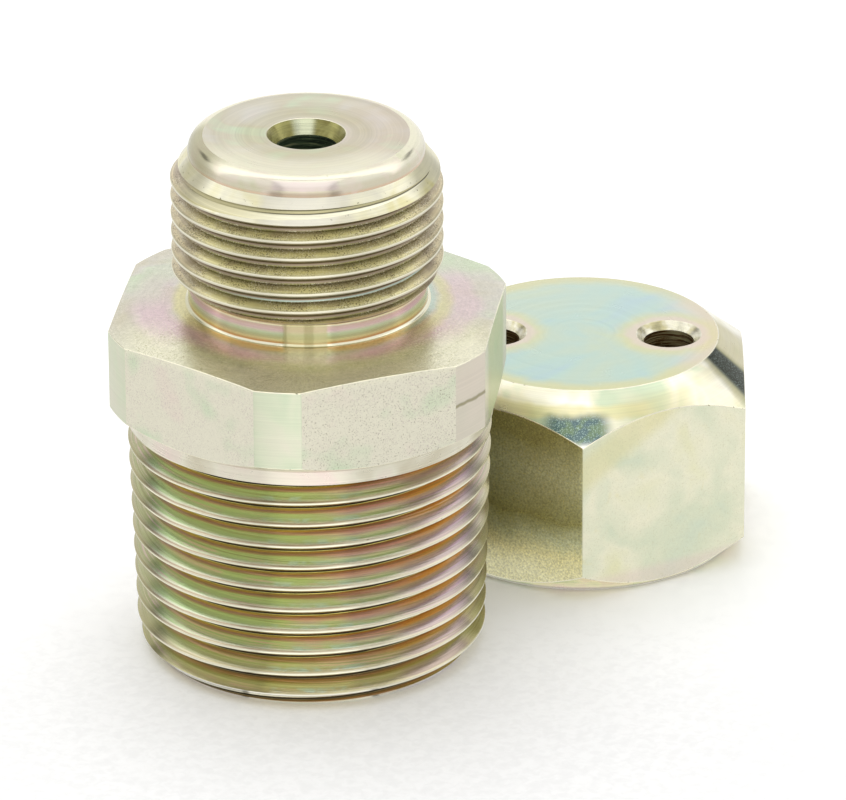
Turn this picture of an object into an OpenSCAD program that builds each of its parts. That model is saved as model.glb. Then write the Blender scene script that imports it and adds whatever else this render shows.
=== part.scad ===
// Vent cap fitting: a turned body with a hexagon flange, a taper pipe thread
// below it and a parallel thread above it, and a hexagon cap with two vent
// holes. The cap is off the body and stands beside it. Units are millimetres.
// The body's axis is Z, its base ring lies on z = 0, and both pieces stand on
// that plane.

/* [Body] */
// Overall height of the body, base ring to nose face
body_height = 51; // [49.5:0.1:54]
// Width across the flats of the body's hexagon
body_flats = 34.93; // [34.4:0.01:36.6]
// Diameter that the hexagon's corners are turned to
body_corner_diameter = 38.1; // [36.9:0.1:39.6]
// Height of the flange's top face at its corners, above the base
flange_top = 33.6; // [32.9:0.1:34.6]
// Rise of that face from the corners to the neck, as a shallow cone
flange_rise = 1; // [0.2:0.05:1.4]
// Height where the turned collar below the hexagon begins
collar_bottom = 23.45; // [22.9:0.05:24.4]
// Height of the collar's straight side
collar_height = 1.35; // [0.8:0.05:2]
// Turn of the hexagon about the axis, in degrees
body_turn = 22.1; // [0:0.1:60]

/* [Pipe thread] */
// Axial distance from one turn of the taper thread to the next
pipe_pitch = 2.2087; // [2.1:0.0001:2.4]
// Crest diameter of the taper thread at the base plane
pipe_end_diameter = 32.5; // [32:0.05:33]
// Radial height of the taper thread
pipe_depth = 1.6; // [1.4:0.01:1.65]
// Outer diameter of the flat base ring inside the end chamfer
base_ring_diameter = 29.2; // [27:0.1:29.3]

/* [Cap thread] */
// Axial distance from one turn of the parallel thread to the next
cap_pitch = 1.75; // [1.6:0.01:1.85]
// Crest diameter of the body's parallel thread
cap_thread_diameter = 25.1; // [24.6:0.05:25.6]
// Radial height of the parallel thread
cap_depth = 1.0; // [0.9:0.01:1.05]
// Radial clearance between the body's parallel thread and the cap's
thread_clearance = 0.15; // [0.1:0.01:0.25]
// Height where the parallel thread's lower end chamfer meets the neck
thread_bottom = 36.75; // [36.3:0.05:37.6]

/* [Neck and nose] */
// Diameter of the undercut neck between flange and thread
neck_diameter = 22.1; // [21:0.1:22.6]
// Radius of the fillet where the neck runs into the flange
neck_fillet = 0.3; // [0.2:0.05:0.6]
// Diameter of the plain nose above the thread
nose_diameter = 21.8; // [20.4:0.1:22.4]
// Height of the nose's plain side and rounding together
nose_length = 1.7; // [1.5:0.05:2.4]
// Height of the lead-in chamfer between nose and thread
lead_in_length = 2.1; // [1.6:0.1:2.8]
// Radius of the rounding round the nose face
nose_rounding = 1.4; // [0.5:0.05:1.5]

/* [Bore] */
// Diameter of the bore through the body
bore_diameter = 5.7; // [4:0.1:6.4]
// Diameter of the countersink's mouth in the nose face
bore_mouth_diameter = 7.25; // [6.8:0.05:9]
// Depth of that countersink
bore_mouth_depth = 1.3; // [0.8:0.05:2]

/* [Cap] */
// Width across the flats of the cap's hexagon
cap_flats = 31; // [30.6:0.05:33]
// Height of the cap
cap_height = 20; // [19.4:0.1:22]
// Diameter of the cap's flat top
cap_top_diameter = 26.2; // [25.4:0.1:27]
// Slope of the cap's big top chamfer, in degrees from the horizontal
cap_top_slope = 39; // [34:1:42]
// Diameter of the cap's base where its lower chamfer begins
cap_base_diameter = 29.9; // [28.6:0.1:30.2]
// Slope of that lower chamfer, in degrees from the horizontal
cap_base_slope = 42; // [30:1:50]
// Thickness of metal between the socket's end and the cap's top
cap_top_wall = 4.5; // [3.6:0.1:5]
// Height of the thread relief groove at the socket's inner end
cap_relief_height = 2.9; // [2.2:0.1:3.4]
// Radial depth of the relief groove beyond the thread
cap_relief_depth = 0.25; // [0.1:0.05:0.4]
// Turn of the cap's hexagon about its own axis, in degrees
cap_turn = 29.4; // [0:0.1:60]
// Where the cap's axis stands, along X from the body's axis
cap_x = 25.78; // [25:0.01:40]
// Where the cap's axis stands, along Y from the body's axis
cap_y = 23.82; // [23:0.01:40]

/* [Vent holes] */
// Distance of each vent hole from the cap's axis
vent_offset = 8.35; // [7.6:0.05:8.8]
// Diameter of each vent hole
vent_diameter = 4.8; // [3:0.1:5]
// Diameter of the countersink's mouth
vent_mouth_diameter = 6.2; // [5.6:0.05:6.6]
// Turn of the line through the two vent holes, in degrees
vent_turn = -2.2; // [-30:0.1:30]

/* [Hidden] */

$fn = 96;

turn_steps = 48;                 // flats in one turn of a thread
flank_slope = tan(30);           // both threads have a 60 degree form
pipe_taper = 1 / 32;             // radius per unit of length
body_corner = body_corner_diameter / 2;
body_hex_corner = body_flats / 2 / cos(30);
pipe_radius = pipe_end_diameter / 2;
pipe_flank = pipe_depth * flank_slope;
pipe_crest = (pipe_pitch - 2 * pipe_flank) / 2;
base_ring = base_ring_diameter / 2;
collar_radius = pipe_radius + pipe_taper * collar_bottom + 0.12;
collar_top = collar_bottom + collar_height;
collar_slope = 0.6;              // rise of the cone under the hexagon's corners
neck = neck_diameter / 2;
flange_head = flange_top + flange_rise;
fillet_reach = neck + neck_fillet;
fillet_foot = flange_head - flange_rise * neck_fillet / (body_corner - neck);
pipe_crest_height = 21.47;       // a crest's height at the angle below
pipe_crest_angle = -91.3;

thread_radius = cap_thread_diameter / 2;
thread_crest = cap_pitch / 8;
nose = nose_diameter / 2;
nose_foot = body_height - nose_length;
thread_crest_height = 47.36;
thread_crest_angle = -93;
core_step_foot = thread_bottom + 3;      // inside the thread, neck width gives way
core_step_top = core_step_foot + 0.5;    // to nose width between these two

bore = bore_diameter / 2;
bore_mouth = bore_mouth_diameter / 2;

cap_hex_corner = cap_flats / 2 / cos(30);
cap_top_radius = cap_top_diameter / 2;
cap_base_radius = cap_base_diameter / 2;
socket_crest = thread_radius + thread_clearance;
socket_depth = cap_height - cap_top_wall;
relief_radius = socket_crest + cap_relief_depth;
relief_foot = socket_depth - cap_relief_height;
socket_bore = socket_crest - cap_depth + 0.1;   // drilled hole before the thread is cut
socket_mouth = socket_crest + 0.35;
mouth_depth = 1.6;
socket_thread_top = relief_foot + 0.4;
socket_crest_height = relief_foot - 2;          // a crest's height on the +X side
vent = vent_diameter / 2;
vent_mouth = vent_mouth_diameter / 2;

zinc = [0.80, 0.78, 0.62];
zinc_cap = [0.78, 0.79, 0.64];

// one row of a thread's outline: foot, crest start, crest end, foot
function outline(radius, taper, depth, flank, crest, middle) = [
    [radius + taper * (middle - crest / 2 - flank) - depth, middle - crest / 2 - flank],
    [radius + taper * (middle - crest / 2), middle - crest / 2],
    [radius + taper * (middle + crest / 2), middle + crest / 2],
    [radius + taper * (middle + crest / 2 + flank) - depth, middle + crest / 2 + flank]];

// A solid rod with a right-hand thread, radius measured at z = 0. The crest
// passes through the given height at the given angle. The rod reaches past
// low and high, so that what it is cut with gives it flat ends.
module threaded_rod(pitch, radius, taper, depth, crest, crest_height, crest_angle, low, high) {
    flank = depth * flank_slope;
    at_zero = crest_height - pitch * crest_angle / 360;
    first = at_zero - pitch * ceil((at_zero - low) / pitch + 1.6);
    turns = ceil((high - first) / pitch + 0.6);
    rows = turns * turn_steps;
    extra = turn_steps;
    grid = [for (i = [0:rows + extra]) let (
        angle = 360 * i / turn_steps,
        line = outline(radius, taper, depth, flank, crest, first + pitch * i / turn_steps))
        for (j = [0:(i <= rows ? 3 : 0)])
            [line[j][0] * cos(angle), line[j][0] * sin(angle), line[j][1]]];
    foot_z = first;
    head_z = first + pitch * turns;
    points = concat(grid, [[0, 0, foot_z], [0, 0, head_z]]);
    foot = len(grid);
    head = foot + 1;
    function at(i, j) = j < 4 ? (i <= rows ? 4 * i + j : 4 * (rows + 1) + i - rows - 1)
                              : at(i + turn_steps, 0);
    sides = [for (i = [0:rows - 1]) for (j = [0:3]) for (k = [0, 1])
        k == 0 ? [at(i, j), at(i + 1, j + 1), at(i + 1, j)]
               : [at(i, j), at(i, j + 1), at(i + 1, j + 1)]];
    foot_fan = [for (i = [0:turn_steps - 1]) [foot, at(i, 0), at(i + 1, 0)]];
    foot_step = [for (j = [0:3]) [foot, at(0, j + 1), at(0, j)]];
    head_fan = [for (i = [0:turn_steps - 1])
        [head, at(rows - turn_steps + i + 1, 4), at(rows - turn_steps + i, 4)]];
    head_step = [for (j = [0:3]) [head, at(rows, j), at(rows, j + 1)]];
    polyhedron(points = points, faces = concat(sides, foot_fan, foot_step, head_fan, head_step),
               convexity = 12);
}

module pipe_thread() {
    reach = collar_radius + 0.3;
    intersection() {
        threaded_rod(pipe_pitch, pipe_radius, pipe_taper, pipe_depth, pipe_crest,
                     pipe_crest_height, pipe_crest_angle, 0, collar_bottom + 0.7);
        rotate_extrude()
            polygon([[0, 0], [base_ring, 0], [reach, reach - base_ring],
                     [reach, collar_bottom + 0.7], [0, collar_bottom + 0.7]]);
    }
}

module upper_thread() {
    reach = thread_radius + 0.3;
    rise = (thread_radius - nose) / lead_in_length;
    intersection() {
        threaded_rod(cap_pitch, thread_radius, 0, cap_depth, thread_crest,
                     thread_crest_height, thread_crest_angle, thread_bottom - 0.1, nose_foot + 0.1);
        rotate_extrude()
            polygon([[0, thread_bottom - 0.05], [neck - 0.05, thread_bottom - 0.05],
                     [reach, thread_bottom + reach - neck],
                     [reach, nose_foot - (reach - nose) / rise],
                     [nose - 0.05, nose_foot + 0.05 / rise],
                     [0, nose_foot + 0.05 / rise]]);
    }
}

// hexagon prism whose corners are turned round, on a collar with a cone, its
// top face rising a little towards the neck
module flange() {
    intersection() {
        translate([0, 0, collar_bottom])
            rotate([0, 0, body_turn])
                cylinder(h = flange_head - collar_bottom, r = body_hex_corner, $fn = 6);
        rotate_extrude()
            polygon([[0, collar_bottom], [collar_radius, collar_bottom],
                     [collar_radius, collar_top],
                     [body_corner, collar_top + (body_corner - collar_radius) * collar_slope],
                     [body_corner, flange_top], [neck, flange_head], [0, flange_head]]);
    }
}

module neck_and_nose() {
    fillet = [for (a = [0:15:90]) [neck + neck_fillet * (1 - sin(a)),
                                   fillet_foot + neck_fillet * (1 - cos(a))]];
    rounding = [for (a = [0:15:90]) [nose - nose_rounding * (1 - cos(a)),
                                     body_height - nose_rounding * (1 - sin(a))]];
    rotate_extrude()
        polygon(concat([[0, flange_top - 1], [fillet_reach, flange_top - 1]],
                       fillet,
                       [[neck, core_step_foot], [nose, core_step_top]],
                       rounding,
                       [[0, body_height]]));
}

module bore_cut() {
    rotate_extrude()
        polygon([[0, -1], [bore, -1], [bore, body_height - bore_mouth_depth],
                 [bore_mouth, body_height],
                 [bore_mouth + (bore_mouth - bore) / bore_mouth_depth, body_height + 1],
                 [0, body_height + 1]]);
}

module body() {
    color(zinc)
        difference() {
            union() {
                pipe_thread();
                flange();
                neck_and_nose();
                upper_thread();
            }
            bore_cut();
        }
}

// tapped hole: drilled bore, helical groove, mouth cone and relief groove
module socket() {
    intersection() {
        threaded_rod(cap_pitch, socket_crest, 0, cap_depth, thread_crest,
                     socket_crest_height, 0, -1, socket_thread_top);
        translate([0, 0, -1])
            cylinder(h = socket_thread_top + 1, r = socket_crest + 1);
    }
    translate([0, 0, -1])
        cylinder(h = socket_thread_top + 1, r = socket_bore);
    rotate_extrude()
        polygon([[0, -1], [socket_mouth + 1, -1], [socket_mouth - mouth_depth, mouth_depth],
                 [0, mouth_depth]]);
    translate([0, 0, relief_foot])
        cylinder(h = cap_relief_height, r = relief_radius);
}

module vent_hole() {
    translate([0, 0, socket_depth - 1])
        cylinder(h = cap_top_wall + 2, r = vent);
    translate([0, 0, cap_height - (vent_mouth - vent)])
        cylinder(h = vent_mouth - vent + 1, r1 = vent, r2 = vent_mouth + 1);
}

module cap() {
    top_drop = (cap_hex_corner + 1 - cap_top_radius) * tan(cap_top_slope);
    base_rise = (cap_hex_corner + 1 - cap_base_radius) * tan(cap_base_slope);
    color(zinc_cap)
        translate([cap_x, cap_y, 0])
            difference() {
                intersection() {
                    rotate([0, 0, cap_turn])
                        cylinder(h = cap_height, r = cap_hex_corner, $fn = 6);
                    rotate_extrude()
                        polygon([[0, 0], [cap_base_radius, 0], [cap_hex_corner + 1, base_rise],
                                 [cap_hex_corner + 1, cap_height - top_drop],
                                 [cap_top_radius, cap_height], [0, cap_height]]);
                }
                socket();
                for (side = [0, 180])
                    rotate([0, 0, vent_turn + side])
                        translate([vent_offset, 0, 0])
                            vent_hole();
            }
}

body();
cap();
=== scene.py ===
"""A zinc plated vent cap fitting: the threaded body and the loose hexagon cap beside it."""
import logging
import math
from dataclasses import dataclass
from enum import Enum
from typing import Callable, Sequence

import bpy
import bmesh
from mathutils import Matrix, Vector


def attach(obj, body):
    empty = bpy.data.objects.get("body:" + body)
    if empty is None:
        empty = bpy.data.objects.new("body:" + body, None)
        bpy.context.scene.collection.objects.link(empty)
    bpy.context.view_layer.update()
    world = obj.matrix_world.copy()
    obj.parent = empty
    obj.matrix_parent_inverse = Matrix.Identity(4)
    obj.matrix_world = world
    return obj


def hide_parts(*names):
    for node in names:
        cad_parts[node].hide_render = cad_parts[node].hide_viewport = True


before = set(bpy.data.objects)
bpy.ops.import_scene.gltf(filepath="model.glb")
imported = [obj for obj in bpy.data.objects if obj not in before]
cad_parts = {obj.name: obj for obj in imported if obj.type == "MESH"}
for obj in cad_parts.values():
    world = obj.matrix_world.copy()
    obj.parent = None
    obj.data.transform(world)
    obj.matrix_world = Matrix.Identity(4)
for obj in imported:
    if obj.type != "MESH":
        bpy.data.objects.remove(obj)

log = logging.getLogger("vent_cap_fitting")
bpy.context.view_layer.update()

# Metres in a millimetre, a face's tolerance in millimetres, the distance of points that are merged in
# metres, the angle up to which faces are shaded smooth and the camera's side about Z, both in degrees
MM = 0.001
TOUCH = 0.001
MERGED = 1e-6
SMOOTH_BELOW = 17.0
FRONT = -90.0

Piece = bpy.types.Object
Outline = Sequence[tuple[float, float]]


# Shader maths
class Wire:
    """A shader socket that takes part in Python expressions."""

    def __init__(self, nodes: "Nodes", socket: bpy.types.NodeSocket) -> None:
        """Keeps the socket and the node tree that it belongs to."""
        self.nodes = nodes
        self.socket = socket

    def maths(self, operation: str, *others: "Wire | float") -> "Wire":
        """A Math node's result for this value, and for others where it takes more."""
        return self.nodes.make("ShaderNodeMath", {"operation": operation}, dict(enumerate((self, *others))))

    def __add__(self, other: "Wire | float") -> "Wire":
        """Sum."""
        return self.maths("ADD", other)

    def __sub__(self, other: "Wire | float") -> "Wire":
        """Difference."""
        return self.maths("SUBTRACT", other)

    def __rsub__(self, other: float) -> "Wire":
        """Difference from a number."""
        return self.nodes.make("ShaderNodeMath", {"operation": "SUBTRACT"}, {0: other, 1: self})

    def __mul__(self, other: "Wire | float") -> "Wire":
        """Product."""
        return self.maths("MULTIPLY", other)

    def __truediv__(self, other: "Wire | float") -> "Wire":
        """Quotient."""
        return self.maths("DIVIDE", other)

    def step(self, low: float, high: float) -> "Wire":
        """0 at low, 1 at high, smooth between; high may be the lower one."""
        ends = (low, high, 0.0, 1.0) if low < high else (high, low, 1.0, 0.0)
        names = ("From Min", "From Max", "To Min", "To Max")
        return self.nodes.make("ShaderNodeMapRange", {"interpolation_type": "SMOOTHSTEP"},
                               {"Value": self, **dict(zip(names, ends))})

    def hump(self, middle: float, flat: float, fade: float) -> "Wire":
        """1 within flat of the middle, and 0 beyond fade more."""
        return (self - middle).maths("ABSOLUTE").step(flat + fade, flat)

    def ramp(self, stops: "dict[float, Zinc]") -> "Wire":
        """A colour ramp over this value, from tones by place."""
        return self.nodes.make("ShaderNodeValToRGB", {"stops": stops}, {"Fac": self})

    def blend(self, share: "Wire | float", other: "Wire | tuple", how: str = "MIX") -> "Wire":
        """This colour with a share of another one, or multiplied by it."""
        settings = {"data_type": "RGBA", "blend_type": how, "clamp_factor": True}
        return self.nodes.make("ShaderNodeMix", settings, {0: share, 6: self, 7: other}, 2)

    def coat(self, *coats: "tuple[Wire, Zinc]") -> "Wire":
        """Lays tones over this colour one after another, from pairs of share and tone."""
        colour = self
        for share, paint in coats:
            colour = colour.blend(share, paint.light)
        return colour

    def shade(self, value: "Wire", low: float, high: float) -> "Wire":
        """Darkens or lightens this colour by a value from 0 to 1."""
        return self.blend(1.0, self.nodes.grey(value * (high - low) + low), "MULTIPLY")


class Nodes:
    """Builds one node tree."""

    def __init__(self, tree: bpy.types.NodeTree) -> None:
        """Starts on an emptied tree.

        Args:
            tree: A material's or the world's node tree.
        """
        self.tree = tree
        self.tree.nodes.clear()

    @classmethod
    def for_material(cls, name: str) -> tuple["Nodes", bpy.types.Material]:
        """Makes a material and a builder for its tree."""
        material = bpy.data.materials.new(name)
        material.use_nodes = True
        return cls(material.node_tree), material

    def make(self, kind: str, settings: dict, inputs: dict, out: int | str = 0) -> Wire:
        """Adds one node.

        Args:
            kind: The node's type.
            settings: Its properties; "stops" holds a colour ramp's stops.
            inputs: Values or wires by socket name or number.
            out: The output that the returned wire holds.

        Returns:
            A wire on that output.
        """
        node = self.tree.nodes.new(kind)
        for key, value in settings.items():
            if key == "stops":
                self._stops(node.color_ramp, value)
            else:
                setattr(node, key, value)
        for key, value in inputs.items():
            if isinstance(value, Wire):
                self.tree.links.new(value.socket, node.inputs[key])
            else:
                node.inputs[key].default_value = value
        return Wire(self, node.outputs[out])

    @staticmethod
    def _stops(ramp: bpy.types.ColorRamp, stops: "dict[float, Zinc]") -> None:
        """Fills a colour ramp from tones by place."""
        while len(ramp.elements) > 1:
            ramp.elements.remove(ramp.elements[-1])
        for number, (place, paint) in enumerate(stops.items()):
            stop = ramp.elements[0] if number == 0 else ramp.elements.new(place)
            stop.position = place
            stop.color = paint.light

    def noise(self, place: Wire, scale: float, detail: float, rough: float, twist: float = 0.0) -> Wire:
        """Plain noise, about 0.5 on average."""
        return self.make("ShaderNodeTexNoise", {}, {
            "Vector": place, "Scale": scale, "Detail": detail, "Roughness": rough, "Distortion": twist})

    def vector(self, x: "Wire | float", y: "Wire | float", z: "Wire | float") -> Wire:
        """A vector of three values."""
        return self.make("ShaderNodeCombineXYZ", {}, {0: x, 1: y, 2: z})

    def grey(self, value: Wire) -> Wire:
        """A grey of a level."""
        return self.vector(value, value, value)

    def split(self, value: Wire) -> tuple[Wire, Wire, Wire]:
        """A vector's three values."""
        outputs = self.make("ShaderNodeSeparateXYZ", {}, {0: value}).socket.node.outputs
        return tuple(Wire(self, output) for output in outputs)

    def surface(self, kind: str, inputs: dict) -> None:
        """Adds a shader and the output."""
        self.end(self.make(kind, {}, inputs))

    def end(self, shader: Wire) -> None:
        """Links a shader to a new output node."""
        world = any(tree.node_tree is self.tree for tree in bpy.data.worlds)
        output = self.tree.nodes.new("ShaderNodeOutputWorld" if world else "ShaderNodeOutputMaterial")
        self.tree.links.new(shader.socket, output.inputs["Surface"])


@dataclass(frozen=True)
class Axis:
    """A turned piece's axis, in metres."""

    x: float = 0.0
    y: float = 0.0


class Surface:
    """Where a shader point lies on a turned piece, and common patterns there."""

    def __init__(self, nodes: Nodes, axis: Axis) -> None:
        """Works out place, radius and height in millimetres, and angle in turns.

        Args:
            nodes: The material's tree.
            axis: The piece's axis.
        """
        self.nodes = nodes
        place = nodes.make("ShaderNodeTexCoord", {}, {}, "Object")
        own = nodes.make("ShaderNodeVectorMath", {"operation": "SUBTRACT"},
                         {0: place, 1: (axis.x, axis.y, 0.0)})
        self.place = nodes.make("ShaderNodeVectorMath", {"operation": "SCALE"}, {0: own, "Scale": 1 / MM})
        self.x, self.y, self.height = nodes.split(self.place)
        flat = nodes.vector(self.x, self.y, 0.0)
        self.radius = nodes.make("ShaderNodeVectorMath", {"operation": "LENGTH"}, {0: flat}, "Value")
        self.angle = self.y.maths("ARCTAN2", self.x) / (2 * math.pi)

    def blots(self, size: float, seed: float = 0.0, detail: float = 2.5, twist: float = 0.5) -> Wire:
        """Soft patches of about a size in millimetres."""
        moved = self.nodes.make("ShaderNodeVectorMath", {"operation": "ADD"},
                                {0: self.place, 1: (seed, seed * 0.7, seed * 1.3)})
        return self.nodes.noise(moved, 1.0 / size, detail, 0.55, twist)

    def wander(self, reach: float, size: float, seed: float = 0.0) -> Wire:
        """A soft random shift of about a quarter of a reach either way, over patches of a size."""
        return (self.blots(size, seed) - 0.5) * reach

    def sector(self, middle: float, half: float, fade: float) -> Wire:
        """1 within half degrees of an angle about the axis, fading over some more."""
        off = (self.angle - (middle / 360 - 0.5)).maths("FRACT")
        return off.hump(0.5, half / 360, fade / 360)

    def lines(self, along: Wire, size: float, stretch: float = 0.04) -> Wire:
        """Fine turning marks across a direction, of about a size in millimetres."""
        place = self.nodes.vector(along / size, self.x * stretch, self.y * stretch)
        return self.nodes.noise(place, 1.0, 3.0, 0.6)

    def specks(self, size: float, low: float, high: float, seed: float = 3.0) -> Wire:
        """Small spots, 1 inside."""
        return self.blots(size, seed, 2.0, 0.0).step(low, high)

    def turns(self, thread: "Thread", wander: float) -> Wire:
        """Turns above a thread's named crest, plus a half, so that each crest lies at a half."""
        rise = (self.height - thread.crest_height) / thread.pitch - (self.angle - thread.crest_angle / 360)
        return rise + self.wander(wander, 6.0, 9.0) + 0.5


# Modelling
class Bench:
    """Common steps for making a piece in edit mode."""

    @staticmethod
    def clear() -> None:
        """Leaves nothing selected."""
        if bpy.context.mode != "OBJECT":
            bpy.ops.object.mode_set(mode="OBJECT")
        bpy.ops.object.select_all(action="DESELECT")

    @classmethod
    def pick(cls, piece: Piece) -> None:
        """Leaves one piece selected and active."""
        cls.clear()
        piece.select_set(True)
        bpy.context.view_layer.objects.active = piece

    @classmethod
    def settle(cls, piece: Piece, turn: float = 0.0, x: float = 0.0, y: float = 0.0) -> None:
        """Turns a piece about Z by degrees, moves it by millimetres and keeps both in its mesh."""
        cls.pick(piece)
        piece.rotation_euler.z = math.radians(turn)
        piece.location.x = x * MM
        piece.location.y = y * MM
        bpy.ops.object.transform_apply(location=True, rotation=True, scale=True)

    @classmethod
    def outline(cls, name: str, points: Outline) -> Piece:
        """A chain of edges in the XZ plane.

        Args:
            name: The object's name.
            points: Radius and height of each point, in millimetres.

        Returns:
            The object that holds the chain.
        """
        cls.clear()
        bpy.ops.mesh.primitive_plane_add(size=MM, location=(0, 0, 0))
        piece = bpy.context.object
        piece.name = name
        bpy.ops.object.mode_set(mode="EDIT")
        bpy.ops.mesh.select_mode(type="VERT")
        bpy.ops.mesh.select_all(action="SELECT")
        bpy.ops.mesh.merge(type="CENTER")
        start = points[0]
        bpy.ops.transform.translate(value=(start[0] * MM, 0, start[1] * MM))
        for before, after in zip(points, points[1:]):
            move = ((after[0] - before[0]) * MM, 0, (after[1] - before[1]) * MM)
            bpy.ops.mesh.extrude_region_move(TRANSFORM_OT_translate={"value": move})
        bpy.ops.object.mode_set(mode="OBJECT")
        return piece

    @classmethod
    def sweep(cls, piece: Piece, steps: int, rise: float = 0.0, turns: int = 1) -> None:
        """Sweeps a chain about Z, with a rise for a thread.

        Args:
            piece: The chain.
            steps: Flats in one turn.
            rise: Rise in one turn, in millimetres.
            turns: Number of turns.
        """
        cls.pick(piece)
        screw = piece.modifiers.new("turning", "SCREW")
        screw.angle = 2 * math.pi
        screw.steps = screw.render_steps = steps
        screw.screw_offset = rise * MM
        screw.iterations = turns
        screw.use_merge_vertices = True
        screw.merge_threshold = MERGED
        screw.use_normal_calculate = True
        bpy.ops.object.modifier_apply(modifier=screw.name)
        cls.tidy(piece)

    @classmethod
    def tidy(cls, piece: Piece) -> None:
        """Merges doubles and turns all faces outwards."""
        cls.pick(piece)
        bpy.ops.object.mode_set(mode="EDIT")
        bpy.ops.mesh.select_all(action="SELECT")
        bpy.ops.mesh.remove_doubles(threshold=MERGED)
        bpy.ops.mesh.normals_make_consistent(inside=False)
        bpy.ops.object.mode_set(mode="OBJECT")

    @classmethod
    def close_ends(cls, piece: Piece) -> None:
        """Closes an open thread's two ends with a fan each."""
        cls.pick(piece)
        for high in (False, True):
            bpy.ops.object.mode_set(mode="EDIT")
            bpy.ops.mesh.select_mode(type="EDGE")
            bpy.ops.mesh.select_all(action="DESELECT")
            mesh = bmesh.from_edit_mesh(piece.data)
            heights = [v.co.z for v in mesh.verts]
            middle = (min(heights) + max(heights)) / 2
            for edge in mesh.edges:
                if edge.is_boundary and (edge.verts[0].co.z > middle) == high:
                    edge.select_set(True)
            bmesh.update_edit_mesh(piece.data)
            bpy.ops.mesh.extrude_region_move(TRANSFORM_OT_translate={"value": (0, 0, 0)})
            bpy.ops.mesh.merge(type="COLLAPSE")
            bpy.ops.object.mode_set(mode="OBJECT")
        cls.tidy(piece)

    @classmethod
    def combine(cls, piece: Piece, tool: Piece, how: str) -> None:
        """Joins, cuts or intersects one closed piece with another, which is then removed."""
        cls.pick(piece)
        step = piece.modifiers.new(how.lower(), "BOOLEAN")
        step.operation = how
        step.solver = "EXACT"
        step.object = tool
        bpy.ops.object.modifier_apply(modifier=step.name)
        data = tool.data
        bpy.data.objects.remove(tool)
        bpy.data.meshes.remove(data)

    @classmethod
    def soften(cls, piece: Piece, width: float, angle: float) -> None:
        """Breaks the edges sharper than an angle, with a bevel of a width in millimetres."""
        cls.pick(piece)
        step = piece.modifiers.new("broken edges", "BEVEL")
        step.width = width * MM
        step.segments = 2
        step.limit_method = "ANGLE"
        step.angle_limit = math.radians(angle)
        step.use_clamp_overlap = True
        step.harden_normals = False
        bpy.ops.object.modifier_apply(modifier=step.name)

    @classmethod
    def prism(cls, name: str, flats: float, low: float, high: float, turn: float) -> Piece:
        """A hexagon prism.

        Args:
            name: The object's name.
            flats: Width across the flats, in millimetres.
            low: Lower face's height.
            high: Upper face's height.
            turn: Angle of a corner about Z, in degrees.

        Returns:
            The prism.
        """
        cls.clear()
        bpy.ops.mesh.primitive_cylinder_add(
            vertices=6, radius=corner_reach(flats) * MM, depth=(high - low) * MM,
            location=(0, 0, (high + low) / 2 * MM))
        piece = bpy.context.object
        piece.name = name
        cls.settle(piece, turn - 90)
        return piece

    @classmethod
    def turned(cls, name: str, points: Outline, steps: int = 192, turn: float = 0.0) -> Piece:
        """A solid of revolution.

        Args:
            name: The object's name.
            points: Its outline: a ring's, or one that starts and ends on the axis.
            steps: Flats in one turn.
            turn: Turn about Z, in degrees, which keeps its edges off those of its neighbours.

        Returns:
            The solid.
        """
        ring = points[0][0] > 0
        piece = cls.outline(name, [*points, points[0]] if ring else points)
        cls.sweep(piece, steps)
        cls.settle(piece, turn)
        return piece


def corner_reach(flats: float) -> float:
    """A hexagon's corner radius from its width across the flats."""
    return flats / 2 / math.cos(math.pi / 6)


def arc(radius: float, height: float, size: float, start: float, end: float, count: int) -> list:
    """Points on an arc in the outline's plane, angles in degrees from the outward direction."""
    angles = [math.radians(start + (end - start) * i / count) for i in range(count + 1)]
    return [(radius + size * math.cos(angle), height + size * math.sin(angle)) for angle in angles]


@dataclass(frozen=True)
class Thread:
    """A right-hand 60 degree thread."""

    pitch: float
    radius: float
    depth: float
    crest: float
    crest_height: float
    crest_angle: float
    low: float
    high: float
    taper: float = 0.0
    steps: int = 144
    crest_round: float = 0.07
    root_round: float = 0.10
    spare_turns: float = 1.2

    def one_turn(self) -> list[tuple[float, float]]:
        """Radius and height of the outline over one pitch, from mid root to mid root."""
        flank = self.depth * math.tan(math.radians(30))
        half, mid_root, room = self.crest / 2, self.pitch / 2, 0.9
        root = self.radius - self.depth
        foot = mid_root - half - flank
        sides = [(root, -mid_root), (root, -half - flank), (self.radius, -half), (self.radius, half),
                 (root, half + flank), (root, mid_root)]
        at_root = min(self.root_round, foot * room)
        at_crest = min(self.crest_round, foot * room, half * room)
        points = [sides[0]]
        for number, reach in enumerate((at_root, at_crest, at_crest, at_root)):
            before, here, after = (Vector(side) for side in sides[number:number + 3])
            first = here + (before - here).normalized() * reach
            last = here + (after - here).normalized() * reach
            for t in (0.0, 1 / 3, 2 / 3, 1.0):
                point = first * (1 - t) ** 2 + here * 2 * t * (1 - t) + last * t ** 2
                points.append((point.x, point.y))
        return [*points, sides[-1]]

    def rod(self, name: str) -> Piece:
        """The threaded rod, with ends beyond low and high."""
        at_zero = self.crest_height - self.pitch * self.crest_angle / 360
        first = at_zero - self.pitch * math.ceil((at_zero - self.low) / self.pitch + self.spare_turns)
        turns = math.ceil((self.high - first) / self.pitch + self.spare_turns)
        piece = Bench.outline(name, [(r, z + first) for r, z in self.one_turn()])
        Bench.sweep(piece, self.steps, self.pitch, turns)
        if self.taper:
            for vertex in piece.data.vertices:
                grow = 1 + self.taper * (vertex.co.z / MM) / self.radius
                vertex.co.x *= grow
                vertex.co.y *= grow
        Bench.close_ends(piece)
        return piece


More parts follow.
